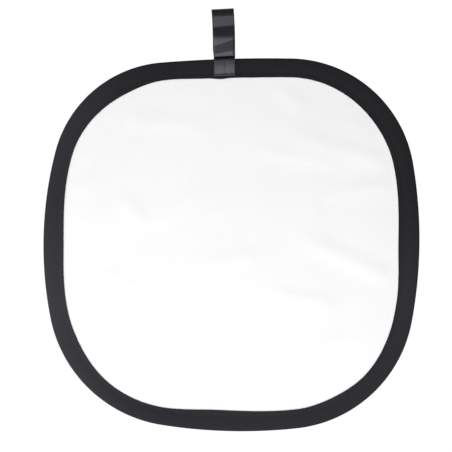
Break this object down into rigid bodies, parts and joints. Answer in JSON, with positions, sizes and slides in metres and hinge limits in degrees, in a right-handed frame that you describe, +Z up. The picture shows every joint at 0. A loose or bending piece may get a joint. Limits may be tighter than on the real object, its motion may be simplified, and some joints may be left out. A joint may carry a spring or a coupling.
{
  "type": "collapsible backdrop panel",
  "caption": "Small pop-up backdrop panel: white fabric face on a folding spring hoop with a black bound edge and a ribbon loop to hang it by.",
  "frame": {"origin": "axis of the peg or hook that the ribbon loop hangs on, at the middle of the ribbon's width", "axes": "+X along the peg, +Z up, and the white face looks along -Y"},
  "size_m": [0.34, 0.0116, 0.3822],
  "materials": {
    "ribbon": "black satin ribbon, creased across",
    "binding_tape": "matte black twill tape",
    "black_thread": "black polyester thread",
    "white_cloth": "matte white plain weave",
    "black_cloth": "matte black plain weave",
    "spring_steel": "blued and oiled strip",
    "plated_steel": "zinc plated"
  },
  "bodies": {
    "strap_loop": {"strap_loop": "ribbon"},
    "strap_neck": {"strap_neck": "ribbon"},
    "panel_upper": {"strap_wrap": "ribbon", "strap_stitches": "black_thread", "binding_lap": "binding_tape", "binding_upper": "binding_tape", "binding_stitches_upper": "black_thread", "hoop_upper": "spring_steel", "front_face_upper": "white_cloth", "rear_face_upper": "black_cloth"},
    "panel_lower": {"binding_lower": "binding_tape", "binding_stitches_lower": "black_thread", "hoop_lower": "spring_steel", "hoop_joiner": "plated_steel", "joiner_rivets": "plated_steel", "front_face_lower": "white_cloth", "rear_face_lower": "black_cloth"}
  },
  "joints": [
    {"name": "strap_twist", "type": "hinge", "parent": "strap_loop", "child": "strap_neck", "pos_m": [0, 0, -0.03], "axis": [0, 0, 1], "range_deg": [-90, 90], "stiffness_Nm_per_rad": 0.01},
    {"name": "strap_swing", "type": "hinge", "parent": "strap_neck", "child": "panel_upper", "pos_m": [0, 0, -0.0374], "axis": [1, 0, 0], "range_deg": [-90, 90]},
    {"name": "panel_fold", "type": "hinge", "parent": "panel_upper", "child": "panel_lower", "pos_m": [0.0065, 0, -0.20825], "axis": [1, 0, 0], "range_deg": [-150, 150], "stiffness_Nm_per_rad": 0.3}
  ]
}
